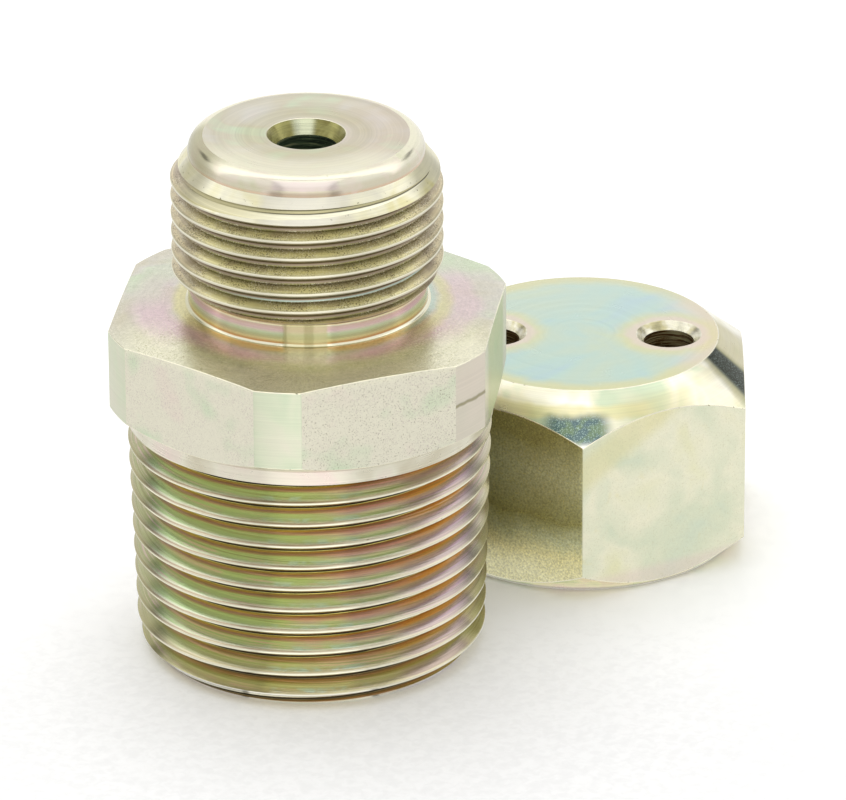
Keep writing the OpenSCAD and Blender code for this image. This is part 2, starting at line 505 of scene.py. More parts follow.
# Colours
class Zinc(Enum):
    """Tones of yellow chromate over zinc, as screen colours from 0 to 255."""

    WHITE = 250, 248, 238
    CREAM = 238, 234, 208
    IVORY = 232, 228, 186
    PALE = 224, 220, 200
    SILVER = 212, 208, 196
    BEIGE = 206, 199, 176
    KHAKI = 190, 183, 142
    STRAW = 222, 214, 158
    YELLOW = 214, 204, 120
    BLUSH = 226, 208, 198
    ORCHID = 222, 194, 202
    PEACH = 214, 186, 158
    ROSE = 208, 182, 172
    PINK = 208, 160, 172
    MAUVE = 168, 140, 150
    LILAC = 196, 172, 186
    MINT = 204, 216, 186
    GREEN = 176, 190, 126
    LEAF = 140, 160, 84
    LIME = 180, 202, 148
    SAGE = 190, 192, 150
    FERN = 152, 148, 92
    AQUA = 190, 214, 204
    FROST = 216, 221, 194
    SEA = 198, 214, 196
    BLUE = 182, 206, 216
    ORANGE = 208, 150, 84
    AMBER = 210, 160, 96
    GOLD = 182, 146, 66
    BROWN = 124, 88, 44
    SEPIA = 112, 96, 66
    TAUPE = 154, 138, 118
    CLAY = 178, 158, 132
    UMBER = 78, 58, 32
    OLIVE = 128, 122, 70
    MOSS = 98, 92, 48
    DARK = 44, 40, 26
    TEAL = 40, 84, 92
    SLATE = 50, 62, 52
    SPRUCE = 104, 124, 96

    @property
    def light(self) -> tuple[float, ...]:
        """The tone as linear light, with full cover."""
        parts = [value / 255 for value in self.value]
        linear = [part / 12.92 if part <= 0.04045 else ((part + 0.055) / 1.055) ** 2.4 for part in parts]
        return (*linear, 1.0)


@dataclass(frozen=True)
class Finish:
    """A zinc plated surface; on a faced one the turning marks follow each other outwards."""

    name: str
    paint: Callable[[Surface], Wire]
    roughness: float
    metallic: float
    rings: float = 0.0
    ring_size: float = 0.25
    grain: float = 0.0
    grain_size: float = 0.12
    faced: bool = False

    def material(self, axis: Axis) -> bpy.types.Material:
        """Builds the material.

        Args:
            axis: The axis of the piece that it goes on.

        Returns:
            The material.
        """
        nodes, material = Nodes.for_material(self.name)
        spot = Surface(nodes, axis)
        colour = self.paint(spot)
        along = spot.radius if self.faced else spot.height
        marks = spot.lines(along, self.ring_size)
        pits = spot.blots(self.grain_size, 5.0, 2.0, 0.0)
        uneven, contrast, relief_depth = 0.14, 0.28 * self.rings, 0.02 * MM
        rough = spot.blots(2.4, 2.0) * uneven + marks * (0.1 * self.rings) + (self.roughness - uneven / 2)
        relief = marks * self.rings + pits * self.grain
        if self.rings:
            colour = colour.shade(marks, 1 - contrast, 1 + contrast)
        bump = nodes.make("ShaderNodeBump", {}, {"Strength": 0.6, "Distance": relief_depth, "Height": relief})
        nodes.surface("ShaderNodeBsdfPrincipled", {
            "Base Color": colour, "Metallic": self.metallic, "Roughness": rough, "Normal": bump})
        return material


def nose_face(s: Surface) -> Wire:
    """Turned end face: khaki-beige rings, faintly pink and green, cream towards the front rim."""
    colour = s.blots(6.0).ramp({0.30: Zinc.MINT, 0.44: Zinc.BEIGE, 0.60: Zinc.SILVER, 0.74: Zinc.BLUSH})
    colour = colour.coat(
        (s.sector(5, 25, 45) * 0.25, Zinc.ROSE),
        (s.radius.hump(5.0, 0.3, 1.6) * 0.4, Zinc.KHAKI))
    rim = s.sector(-95, 42, 40) * s.radius.step(4.6, 8.8)
    return colour.shade(s.lines(s.radius, 0.9), 0.86, 1.1).coat((rim * 0.7, Zinc.CREAM))


def nose_side(s: Surface) -> Wire:
    """Plain side and large rounding: peach below, cream above, olive at the far left; in front, painted shade
    dims the bright reflection on the foot and the rounding.
    """
    foot = BODY.nose_foot
    place = (s.height - foot) / (BODY.height - foot) + s.wander(0.14, 5.0)
    nicks = s.specks(0.35, 0.70, 0.78) * s.blots(4.0, 8.0).step(0.52, 0.62)
    return place.ramp({
        0.0: Zinc.BEIGE, 0.05: Zinc.PEACH, 0.22: Zinc.BEIGE, 0.45: Zinc.BEIGE, 0.65: Zinc.PALE,
        1.0: Zinc.CREAM,
    }).coat(
        (s.blots(2.5, 12.0).step(0.46, 0.62) * 0.35, Zinc.BLUSH),
        # Taupe and lilac in front are painted shade that dims the bright reflection there
        (s.sector(FRONT, 15, 5) * s.height.step(foot + 0.7, foot + 0.3) * 0.7, Zinc.TAUPE),
        (s.sector(FRONT, 14, 4) * s.height.hump(foot + 1.0, 0.3, 0.15) * 0.4, Zinc.LILAC),
        (s.sector(-168, 14, 22) * 0.6, Zinc.OLIVE),
        (s.blots(3.5, 4.0).step(0.55, 0.75) * 0.25, Zinc.GREEN),
        (nicks * 0.7, Zinc.MOSS))


def lead_in(s: Surface) -> Wire:
    """Lead-in chamfer, with the first groove running out in it."""
    # The grey band in front is painted shade that dims the bright reflection there
    colour = s.blots(4.0, 6.0).ramp({0.35: Zinc.PALE, 0.5: Zinc.CREAM, 0.7: Zinc.STRAW}).coat(
        ((s.sector(-158, 8, 12) + s.sector(-14, 10, 14)) * 0.5, Zinc.OLIVE),
        (s.sector(FRONT, 18, 6) * 0.6, Zinc.SILVER))
    nicks = s.specks(0.4, 0.66, 0.74) * s.height.hump(BODY.nose_foot - 1.1, 0.3, 0.5)
    return colour.shade(s.lines(s.height, 0.10), 0.84, 1.08).coat((nicks * 0.8, Zinc.MOSS))


def upper_flanks(s: Surface) -> Wire:
    """Brown and olive grooves with cream crests; the first groove is bright. The sepia, umber and dark lines
    in the roots and under the crests are painted shade.
    """
    turns = s.turns(BODY.upper, 0.05)
    phase = turns.maths("FRACT")
    flank = phase.hump(0.76, 0.14, 0.06)
    edges = s.sector(-180, 20, 30) + s.sector(0, 20, 30)
    warm = s.blots(4.0, 11.0).step(0.42, 0.58)
    glints = s.specks(0.14, 0.52, 0.62) * flank * s.blots(3.0, 7.0).step(0.34, 0.54)
    grime = s.specks(0.13, 0.52, 0.62, 21.0) * flank * s.blots(2.5, 17.0).step(0.38, 0.56)
    # Sepia and umber on the lower flanks, darkest just under each crest, are painted shade in the grooves; so
    # are the two dark lines in the first groove
    colour = phase.ramp({
        0.0: Zinc.TAUPE, 0.06: Zinc.SEPIA, 0.14: Zinc.UMBER, 0.24: Zinc.KHAKI, 0.37: Zinc.KHAKI,
        0.42: Zinc.UMBER, 0.45: Zinc.BEIGE, 0.525: Zinc.PALE, 0.56: Zinc.CREAM, 0.585: Zinc.KHAKI,
        0.64: Zinc.STRAW, 0.71: Zinc.STRAW, 0.79: Zinc.KHAKI, 0.86: Zinc.FERN, 0.92: Zinc.FERN,
        0.96: Zinc.TAUPE,
    }).coat(
        (edges * flank * 0.4, Zinc.ROSE),
        (warm * phase.hump(0.82, 0.12, 0.06) * 0.5, Zinc.TAUPE),
        (glints * 0.6, Zinc.CREAM),
        (grime * 0.7, Zinc.UMBER),
        (turns.hump(-4.06, 0.02, 0.04) * s.sector(-60, 40, 40) * 0.7, Zinc.AQUA))
    first = phase.ramp({
        0.0: Zinc.KHAKI, 0.07: Zinc.DARK, 0.12: Zinc.STRAW, 0.40: Zinc.CREAM, 0.56: Zinc.CREAM,
        0.60: Zinc.STRAW, 0.66: Zinc.CREAM, 0.84: Zinc.CREAM, 0.875: Zinc.DARK, 0.92: Zinc.KHAKI,
    }).coat((s.sector(-165, 40, 30) * 0.7, Zinc.KHAKI))
    bright = turns.step(0.5, 0.56) * (1.0 - s.sector(180, 6, 30))
    return colour.blend(bright, first).shade(s.lines(s.height, 0.055), 0.70, 1.2)


def neck(s: Surface) -> Wire:
    """Undercut neck: a bright foot, which is a painted highlight on the fillet, then gold, green and pink
    bands; in front, painted shade and thin painted dark reflections.
    """
    foot, banded = BODY.flange_top + BODY.flange_rise, 2.2
    place = (s.height - foot) / banded + s.wander(0.1, 5.0, 1.0)
    # The cream foot is a painted highlight on the fillet
    return place.ramp({
        0.0: Zinc.CREAM, 0.08: Zinc.CREAM, 0.12: Zinc.AMBER, 0.24: Zinc.STRAW, 0.38: Zinc.SAGE,
        0.54: Zinc.MINT, 0.70: Zinc.ORCHID, 0.86: Zinc.ROSE, 0.94: Zinc.CREAM, 1.0: Zinc.AMBER,
    }).coat(
        (s.sector(-165, 12, 20) * 0.4, Zinc.FERN),
        # Khaki in front is painted shade over the bright reflection; the two thin olive lines are painted
        # reflections of its dark edges
        (s.sector(-90.5, 9.5, 1.5) * 0.7, Zinc.KHAKI),
        ((s.sector(-100.5, 0.5, 1) + s.sector(-89, 1.5, 1.5)) * 0.35, Zinc.OLIVE),
    ).shade(s.lines(s.height, 0.14), 0.88, 1.08)


def flange_face(s: Surface) -> Wire:
    """Faced top of the hexagon, with colours round the neck; in front, painted reflections of the neck: pink
    and amber rings and a pale bar.
    """
    reach = s.radius + s.wander(1.8, 4.0, 5.0)
    near = s.radius + s.wander(0.7, 3.0, 5.0)
    front = s.sector(FRONT, 52, 30)
    left = s.sector(-176, 20, 24)
    right = s.sector(-6, 22, 24)
    cheeks = s.sector(-132, 16, 14) + s.sector(-46, 16, 14)
    # A pale bar in front is a painted reflection of the neck's bright band
    painted_reflection_bar = s.x.hump(0.2, 1.6, 1.2) * near.hump(12.0, 0.9, 2.4) * s.sector(FRONT, 30, 20)
    dots = s.specks(0.12, 0.54, 0.64) * s.blots(3.0, 4.0).step(0.36, 0.56)
    grit = s.specks(0.16, 0.52, 0.60, 8.0) * reach.step(12.6, 14.0)
    return s.blots(8.0, 2.0).ramp({
        0.32: Zinc.MINT, 0.46: Zinc.SILVER, 0.62: Zinc.BEIGE, 0.78: Zinc.BLUSH,
    }).coat(
        (front * reach.step(19.2, 16.0) * 0.75, Zinc.IVORY),
        (front * reach.step(18.8, 15.6) * 0.35, Zinc.GREEN),
        # Pink close to the neck in front is a painted reflection of the neck's bands
        (front * near.hump(12.8, 0.3, 1.2) * 0.4, Zinc.PINK),
        (cheeks * near.hump(12.9, 0.5, 1.6) * 0.45, Zinc.PINK),
        # Amber close to the neck in front is a painted reflection of the neck's bands
        (front * near.hump(11.7, 0.2, 0.4) * 0.5, Zinc.AMBER),
        (painted_reflection_bar * 0.9, Zinc.PALE),
        (front * reach.step(17.2, 18.4) * 0.5, Zinc.SAGE),
        (left * reach.hump(14.6, 0.8, 1.8) * 0.8, Zinc.ORCHID),
        (left * near.step(12.9, 12.0) * 0.8, Zinc.STRAW),
        (s.sector(155, 14, 22) * reach.hump(15.0, 0.8, 1.8) * 0.5, Zinc.MINT),
        (right * near.step(12.1, 11.5) * 0.6, Zinc.AQUA),
        (right * near.hump(12.8, 0.3, 0.8) * 0.7, Zinc.STRAW),
        (right * reach.hump(14.6, 0.6, 1.4) * 0.6, Zinc.ORCHID),
    ).shade(s.lines(s.radius, 0.2), 0.94, 1.05).coat(
        (front * reach.hump(17.4, 1.3, 2.2) * 0.8, Zinc.CREAM),
        (dots * (front * 0.4 + 0.2), Zinc.FERN),
        (grit * (front * 0.5 + 0.1), Zinc.CREAM),
    ).shade(s.blots(0.5, 12.0, 4.0, 1.5), 0.74, 1.26)


def flats(s: Surface) -> Wire:
    """Drawn flats: pale, slightly pink or green, with fine pits and a painted highlight along the top edge.
    """
    crowd = s.blots(3.0, 6.0).step(0.34, 0.58)
    pits = s.specks(0.105, 0.60, 0.68, 12.0) * (s.sector(-55, 30, 20) * 0.6 + 0.4)
    return s.blots(6.0, 3.0, 2.0, 0.0).ramp({
        0.30: Zinc.MINT, 0.44: Zinc.PALE, 0.58: Zinc.PALE, 0.74: Zinc.BLUSH,
    }).coat(
        # Cream along the top edge is a painted highlight
        (s.height.step(BODY.flange_top - 0.6, BODY.flange_top) * 0.4, Zinc.CREAM),
        (s.specks(0.13, 0.56, 0.64) * crowd * 0.3, Zinc.MAUVE),
        (pits * 0.75, Zinc.SEPIA),
        (s.sector(-8, 14, 6) * 0.55, Zinc.GREEN),
    ).shade(s.blots(0.3, 1.0), 0.92, 1.06)


def corners(s: Surface) -> Wire:
    """Corners turned round, with fine lines: greenish, the right one pink and scratched."""
    right = s.sector(-38, 14, 4)
    scratch = (s.height + s.wander(1.2, 5.0, 3.0)).hump(29.4, 0.05, 0.22)
    return s.blots(6.0, 7.0).ramp({0.36: Zinc.MINT, 0.5: Zinc.FROST, 0.70: Zinc.PALE}).coat(
        (right * 0.6, Zinc.BLUSH),
        (scratch * right * 0.7, Zinc.OLIVE),
    ).shade(s.lines(s.height, 0.14), 0.84, 0.98)


def collar(s: Surface) -> Wire:
    """Cone and collar below the hexagon."""
    colour = s.blots(7.0, 8.0).ramp({0.36: Zinc.BEIGE, 0.50: Zinc.PALE, 0.68: Zinc.BLUSH})
    return colour.shade(s.lines(s.height, 0.15), 0.90, 1.05)


def pipe_flanks(s: Surface) -> Wire:
    """Taper thread: a dark root and a dark line under each crest, painted shade with some grime, then gold,
    pink or green bands down to each cream crest.
    """
    phase = s.turns(BODY.pipe, 0.06).maths("FRACT")
    # Dark and umber in the root and just under each crest are painted shade, with some grime
    root = {
        0.0: Zinc.DARK, 0.04: Zinc.UMBER, 0.10: Zinc.GOLD, 0.22: Zinc.STRAW, 0.38: Zinc.KHAKI,
        0.44: Zinc.UMBER, 0.464: Zinc.PALE, 0.50: Zinc.CREAM, 0.546: Zinc.BEIGE}
    middle = phase.ramp({
        **root, 0.575: Zinc.BEIGE, 0.61: Zinc.FROST, 0.64: Zinc.LIME, 0.70: Zinc.FROST,
        0.77: Zinc.LILAC, 0.85: Zinc.PINK, 0.90: Zinc.MAUVE, 0.93: Zinc.AMBER, 0.96: Zinc.YELLOW,
        0.98: Zinc.DARK})
    left = phase.ramp({
        **root, 0.575: Zinc.CLAY, 0.61: Zinc.FROST, 0.66: Zinc.LIME, 0.81: Zinc.LIME, 0.85: Zinc.CLAY,
        0.89: Zinc.MAUVE, 0.925: Zinc.YELLOW, 0.96: Zinc.YELLOW, 0.98: Zinc.DARK})
    right = phase.ramp({
        **root, 0.58: Zinc.BEIGE, 0.65: Zinc.SILVER, 0.71: Zinc.LILAC, 0.77: Zinc.PEACH,
        0.83: Zinc.ORANGE, 0.91: Zinc.ORANGE, 0.94: Zinc.AMBER, 0.965: Zinc.STRAW, 0.985: Zinc.DARK})
    lowest_turns = phase.ramp({
        **root, 0.58: Zinc.KHAKI, 0.68: Zinc.KHAKI, 0.76: Zinc.SAGE, 0.84: Zinc.FERN, 0.92: Zinc.CLAY,
        0.955: Zinc.SEPIA, 0.98: Zinc.DARK})
    # Green bands on the left, pink ones in the middle and behind, orange ones on the right, olive and khaki
    # on the lowest turns
    turned = s.angle * 360.0 + s.wander(46.0, 8.0, 4.0)
    leftward = turned.step(-76.0, -98.0) * s.y.step(0.0, -6.0)
    rightward = turned.step(-66.0, -48.0) * s.x.step(-6.0, 2.0)
    low = (s.height + s.wander(4.0, 5.0, 2.0)).step(7.0, 2.6)
    colour = middle.blend(leftward, left).blend(rightward, right)
    colour = colour.blend(s.y.step(1.0, 9.0), middle).blend(low * 0.9, lowest_turns)
    # Khaki at both sides and olive at the far left are painted dark reflections near the edges of the view
    sides = s.sector(-172, 10, 12) + s.sector(-8, 10, 12)
    nicks = s.specks(0.5, 0.72, 0.78) * phase.hump(0.5, 0.06, 0.04)
    fine = s.lines(s.height, 0.055)
    flank = phase.hump(0.76, 0.13, 0.05)
    turning = s.sector(-40, 12, 10) * phase.hump(0.69, 0.09, 0.05)
    patchy = s.blots(3.5, 19.0).step(0.36, 0.60)
    glow = s.sector(-88, 12, 8) * phase.hump(0.66, 0.03, 0.05) * s.blots(1.6, 23.0).step(0.42, 0.6)
    return colour.coat(
        (sides * phase.hump(0.70, 0.14, 0.08) * 0.5, Zinc.KHAKI),
        (s.sector(-172, 14, 10) * 0.5, Zinc.FERN),
        (nicks * 0.8, Zinc.UMBER),
        (turning * 0.55, Zinc.MAUVE),
        (fine.step(0.52, 0.62) * flank * patchy * 0.75, Zinc.ROSE),
        (fine.step(0.46, 0.36) * flank * 0.5, Zinc.FERN),
        (glow * 0.7, Zinc.AQUA),
    ).shade(fine, 0.80, 1.16)


def bright_edge(s: Surface) -> Wire:
    """Broken edges, rubbed bright."""
    colour = s.blots(1.5, 3.0).ramp({0.35: Zinc.PALE, 0.6: Zinc.CREAM})
    return colour.coat((s.specks(0.5, 0.66, 0.72) * 0.9, Zinc.MOSS))


def bore_wall(s: Surface) -> Wire:
    """Drilled wall, dull and dark, with rings."""
    colour = s.lines(s.height, 0.30, 0.2).ramp({0.38: Zinc.SLATE, 0.5: Zinc.SPRUCE, 0.62: Zinc.SAGE})
    return colour.coat((s.specks(0.2, 0.64, 0.72) * 0.5, Zinc.SAGE))


def countersink(s: Surface) -> Wire:
    """Countersink with tool marks and a painted highlight at the back."""
    colour = s.blots(1.8, 2.0).ramp({0.35: Zinc.OLIVE, 0.5: Zinc.FERN, 0.68: Zinc.FERN})
    # The frost patch at the back is a painted highlight
    colour = colour.coat((s.sector(95, 10, 14) * 0.7, Zinc.FROST))
    return colour.shade(s.lines(s.height, 0.10, 0.2), 0.55, 1.25)


def vent_mouth(s: Surface) -> Wire:
    """Vent hole's countersink, bright with tool marks."""
    colour = s.blots(1.8, 2.0).ramp({0.35: Zinc.KHAKI, 0.5: Zinc.PALE, 0.68: Zinc.CREAM})
    return colour.shade(s.lines(s.height, 0.10, 0.2), 0.7, 1.15)


def base_ring(s: Surface) -> Wire:
    """Faced base."""
    colour = s.blots(4.0, 5.0).ramp({0.35: Zinc.KHAKI, 0.55: Zinc.BEIGE, 0.7: Zinc.ROSE})
    return colour.shade(s.lines(s.radius, 0.3), 0.82, 1.12)


def cap_top(s: Surface) -> Wire:
    """Cap's top: pale blue-green, yellow at the rim and pink round the holes."""
    rim = s.radius + s.wander(3.0, 5.0, 6.0)
    colour = s.blots(9.0, 4.0, 2.5, 0.8).ramp({
        0.26: Zinc.BLUE, 0.42: Zinc.AQUA, 0.58: Zinc.SEA, 0.74: Zinc.MINT,
    }).coat(
        (rim.step(10.8, 12.8) * 0.7, Zinc.STRAW),
        (s.sector(0, 26, 24) * rim.step(9.0, 12.4) * 0.6, Zinc.BLUSH))
    for vent in CAP.vents():
        away = s.nodes.make("ShaderNodeVectorMath", {"operation": "DISTANCE"}, {
            0: s.nodes.vector(s.x, s.y, 0.0), 1: (*vent, 0.0)}, "Value")
        away = away + s.wander(1.4, 2.5, 8.0)
        colour = colour.coat((away.step(5.8, 4.0) * 0.6, Zinc.STRAW), (away.step(4.4, 3.4) * 0.7, Zinc.BLUSH))
    burrs = s.specks(0.45, 0.66, 0.74) * s.radius.step(CAP.top - 0.25, CAP.top - 0.1)
    return colour.shade(s.lines(s.radius, 0.3), 0.97, 1.03).coat((burrs * 0.8, Zinc.MOSS))


def cap_chamfer(s: Surface) -> Wire:
    """Cap's big chamfer: bright, with yellow and olive stains; its teal patch in front and dark teal band
    with an olive fringe are painted dark reflections, the patch painted as stain too.
    """
    outward = s.radius + s.wander(0.8, 2.5, 2.0)
    # The teal patch in front is a painted dark reflection, painted as stain too
    stain_and_dark_reflection = outward.step(14.8, 15.7) * s.sector(-93, 7, 7) * outward.step(17.8, 17.0)
    # The dark teal band on the right, with its olive fringe, is a painted dark reflection
    painted_reflection_bar = s.sector(-20.5, 3.5, 3.5)
    mottle = s.blots(1.2, 14.0).step(0.45, 0.62) * stain_and_dark_reflection
    glints = s.specks(0.12, 0.55, 0.64) * (stain_and_dark_reflection + painted_reflection_bar * 0.5)
    return s.blots(6.0, 1.0).ramp({
        0.34: Zinc.MINT, 0.46: Zinc.CREAM, 0.60: Zinc.WHITE, 0.76: Zinc.BLUSH,
    }).coat(
        (s.sector(-52, 14, 16) * outward.step(13.4, 14.6) * 0.4, Zinc.STRAW),
        (s.sector(-2, 10, 12) * 0.75, Zinc.KHAKI),
        (outward.hump(15.0, 0.3, 0.5) * s.sector(-96, 26, 10) * 0.7, Zinc.STRAW),
        (s.sector(-21, 6, 4) * 0.6, Zinc.FERN),
        (stain_and_dark_reflection.maths("MAXIMUM", painted_reflection_bar * 0.9) * 0.9, Zinc.TEAL),
        (painted_reflection_bar * 0.85, Zinc.DARK),
        (mottle * 0.35, Zinc.LEAF),
        (glints * 0.6, Zinc.AQUA),
    ).shade(s.lines(s.height, 0.12), 0.93, 1.05)


def cap_flats(s: Surface) -> Wire:
    """Cap's flats: pale green and cream, the one beside the body dark olive."""
    slant = (s.height - s.x * 0.7).hump(13.4, 0.8, 2.0) * s.height.step(8.0, 11.0)
    colour = s.blots(7.0, 9.0).ramp({
        0.22: Zinc.SEA, 0.38: Zinc.FROST, 0.54: Zinc.CREAM, 0.70: Zinc.IVORY,
    }).coat(
        (s.blots(3.0, 1.0) * 0.5, Zinc.FROST),
        (s.blots(2.2, 5.0).step(0.64, 0.80) * 0.5, Zinc.STRAW),
        (slant * 0.5, Zinc.STRAW),
        (s.height.hump(0.8, 0.7, 1.2) * 0.5, Zinc.BLUSH))
    shaded_height = 17.0
    shadow = (s.height / shaded_height + s.wander(0.2, 4.0, 2.0)).ramp({
        0.10: Zinc.IVORY, 0.24: Zinc.STRAW, 0.34: Zinc.SAGE, 0.46: Zinc.FERN, 0.75: Zinc.SAGE,
        0.95: Zinc.FERN,
    }).shade(s.blots(0.2, 14.0, 5.0, 0.0), 0.2, 1.85)
    shadow = shadow.coat((s.specks(0.15, 0.56, 0.64, 9.0) * 0.45, Zinc.YELLOW))
    colour = colour.blend(s.sector(-120.6, 29.5, 0.6), shadow)
    colour = colour.coat((s.specks(0.13, 0.58, 0.66, 2.0) * 0.3, Zinc.KHAKI))
    return colour.shade(s.blots(0.3, 1.0), 0.92, 1.06)


def cap_foot(s: Surface) -> Wire:
    """Cap's lower chamfer, with painted shadow along its bottom."""
    colour = s.blots(3.5, 3.0).ramp({0.34: Zinc.GREEN, 0.5: Zinc.STRAW, 0.68: Zinc.PEACH})
    # Sepia along the bottom is a painted contact shadow
    colour = colour.coat((s.height.step(0.45, 0.15) * 0.7, Zinc.SEPIA))
    return colour.shade(s.lines(s.height, 0.12), 0.82, 1.1)


def vent_wall(s: Surface) -> Wire:
    """Vent hole's wall: brown with bright tool marks."""
    colour = s.lines(s.height, 0.12, 0.3).ramp({0.40: Zinc.UMBER, 0.5: Zinc.BROWN, 0.60: Zinc.KHAKI})
    return colour.coat((s.specks(0.14, 0.62, 0.70) * 0.6, Zinc.KHAKI))


# Body
@dataclass
class Body:
    """The turned and milled body."""

    axis: Axis = Axis()
    height: float = 51.0
    flats: float = 34.93
    corner: float = 19.05
    flange_top: float = 33.6
    flange_rise: float = 1.0
    collar_bottom: float = 23.45
    collar_top: float = 24.8
    collar: float = 17.1
    collar_slope: float = 0.6
    turn: float = 22.1
    neck: float = 11.05
    fillet: float = 0.3
    nose: float = 10.9
    nose_foot: float = 49.3
    lead_in: float = 2.1
    rounding: float = 1.4
    base_ring: float = 14.6
    bore: float = 2.85
    mouth: float = 3.625
    mouth_depth: float = 1.3
    pipe: Thread = Thread(pitch=2.2087, radius=16.25, depth=1.6, crest=0.18, crest_height=21.47,
                          crest_angle=-91.3, low=0.0, high=24.15, taper=1 / 32)
    upper: Thread = Thread(pitch=1.75, radius=12.55, depth=1.0, crest=0.219, crest_height=47.36,
                           crest_angle=-93.0, low=36.65, high=49.9)
    upper_foot: float = 36.75
    core: float = 10.8
    edge: float = 0.07
    edge_above: float = 18.0

    def pipe_thread(self) -> Piece:
        """The taper thread with its end chamfer."""
        rod = self.pipe.rod("taper thread")
        reach = self.collar + 0.3
        inner = self.core - 0.6
        top = self.collar_bottom + 0.7
        lip = 0.03
        stock = Bench.turned("stock", [
            (inner, lip), (self.base_ring + lip, lip), (reach, reach - self.base_ring), (reach, top),
            (inner, top)], turn=0.4)
        Bench.combine(rod, stock, "INTERSECT")
        return rod

    def upper_thread(self) -> Piece:
        """The parallel thread with a chamfer at each end."""
        rod = self.upper.rod("parallel thread")
        reach = self.upper.radius + 0.3
        rise = (self.upper.radius - self.nose) / self.lead_in
        inner = self.nose - 2
        stock = Bench.turned("stock", [
            (inner, self.upper_foot - 0.05), (self.neck - 0.05, self.upper_foot - 0.05),
            (reach, self.upper_foot + reach - self.neck),
            (reach, self.nose_foot - (reach - self.nose) / rise),
            (self.nose - 0.05, self.nose_foot + 0.05 / rise), (inner, self.nose_foot + 0.05 / rise)],
            turn=0.31)
        Bench.combine(rod, stock, "INTERSECT")
        return rod

    def face_height(self, radius: float) -> float:
        """Height of the flange's top face at a radius."""
        return self.flange_top + self.flange_rise * (self.corner - radius) / (self.corner - self.neck)

    def flange(self) -> Piece:
        """The hexagon with turned corners, its cone and the collar below."""
        head = self.flange_top + self.flange_rise
        prism = Bench.prism("hexagon", self.flats, self.collar_bottom, head + 0.5, self.turn)
        cone_top = self.collar_top + (self.corner - self.collar) * self.collar_slope
        inner = self.neck - 0.7
        stock = Bench.turned("stock", [
            (inner, self.collar_bottom - 1), (self.collar, self.collar_bottom - 1),
            (self.collar, self.collar_top), (self.corner, cone_top),
            (self.corner, self.flange_top), (inner, self.face_height(inner))])
        Bench.combine(prism, stock, "INTERSECT")
        Bench.tidy(prism)
        Bench.soften(prism, self.edge, self.edge_above)
        return prism

    def neck_and_nose(self) -> Piece:
        """The undercut neck, and the nose inside and above the thread."""
        foot = self.face_height(self.neck + self.fillet)
        fillet = arc(self.neck + self.fillet, foot + self.fillet, self.fillet, 270, 180, 6)
        rounding = arc(self.nose - self.rounding, self.height - self.rounding, self.rounding, 0, 90, 14)
        slope = (self.mouth - self.bore) / self.mouth_depth
        lip = 0.06
        return Bench.turned("neck and nose", [
            (self.bore, 0), (self.base_ring - 0.05, 0), (self.base_ring, 0.05), (self.base_ring, 0.5),
            (self.core, 4), (self.core, self.flange_top - 1),
            (self.neck + self.fillet, self.flange_top - 1), *fillet,
            (self.neck, self.upper_foot + 3), (self.nose, self.upper_foot + 3.5), *rounding,
            (self.mouth + lip, self.height), (self.mouth, self.height - lip * 0.4),
            (self.mouth - lip * slope, self.height - lip), (self.bore, self.height - self.mouth_depth)])

    def zone(self, place: Vector, normal: Vector) -> str:
        """Names the finish of a face."""
        radius, height = math.hypot(place.x, place.y), place.z
        if radius < self.mouth + 0.02 and height > self.height - self.mouth_depth + TOUCH:
            return "mouth"
        if radius < self.bore + 0.1:
            return "bore"
        if height > self.height - TOUCH:
            return "nose_face"
        if height < 0.04 and normal.z < -0.9:
            return "base"
        if height > self.nose_foot - 0.05 and radius < self.nose + 0.03:
            return "nose_side"
        if height > self.upper_foot + 3:
            ramp = height > self.nose_foot - self.lead_in - 0.1 and abs(normal.z - 0.6) < 0.08
            return "lead_in" if ramp else "upper_flanks"
        if normal.z > 0.985 and radius > self.neck + self.fillet and height > self.flange_top - 0.02:
            return "flange_face"
        if height > self.upper_foot - 0.06 and radius > self.neck + 0.02:
            return "upper_flanks"
        if height > self.flange_top and radius < self.neck + self.fillet:
            return "neck"
        if height < self.collar_bottom - TOUCH or radius < self.collar - 0.2:
            return "pipe_flanks"
        if normal.z < -0.5 or radius < self.collar + 0.01:
            return "collar"
        if abs(normal.z) > 0.02:
            return "bright_edge"
        return "corners" if radius > self.corner - 0.03 else "flats"

    def build(self) -> Piece:
        """Makes the whole body as one closed piece."""
        piece = self.flange()
        Bench.combine(piece, self.pipe_thread(), "UNION")
        Bench.combine(piece, self.neck_and_nose(), "UNION")
        Bench.combine(piece, self.upper_thread(), "UNION")
        piece.name = "threaded_body"
        return piece


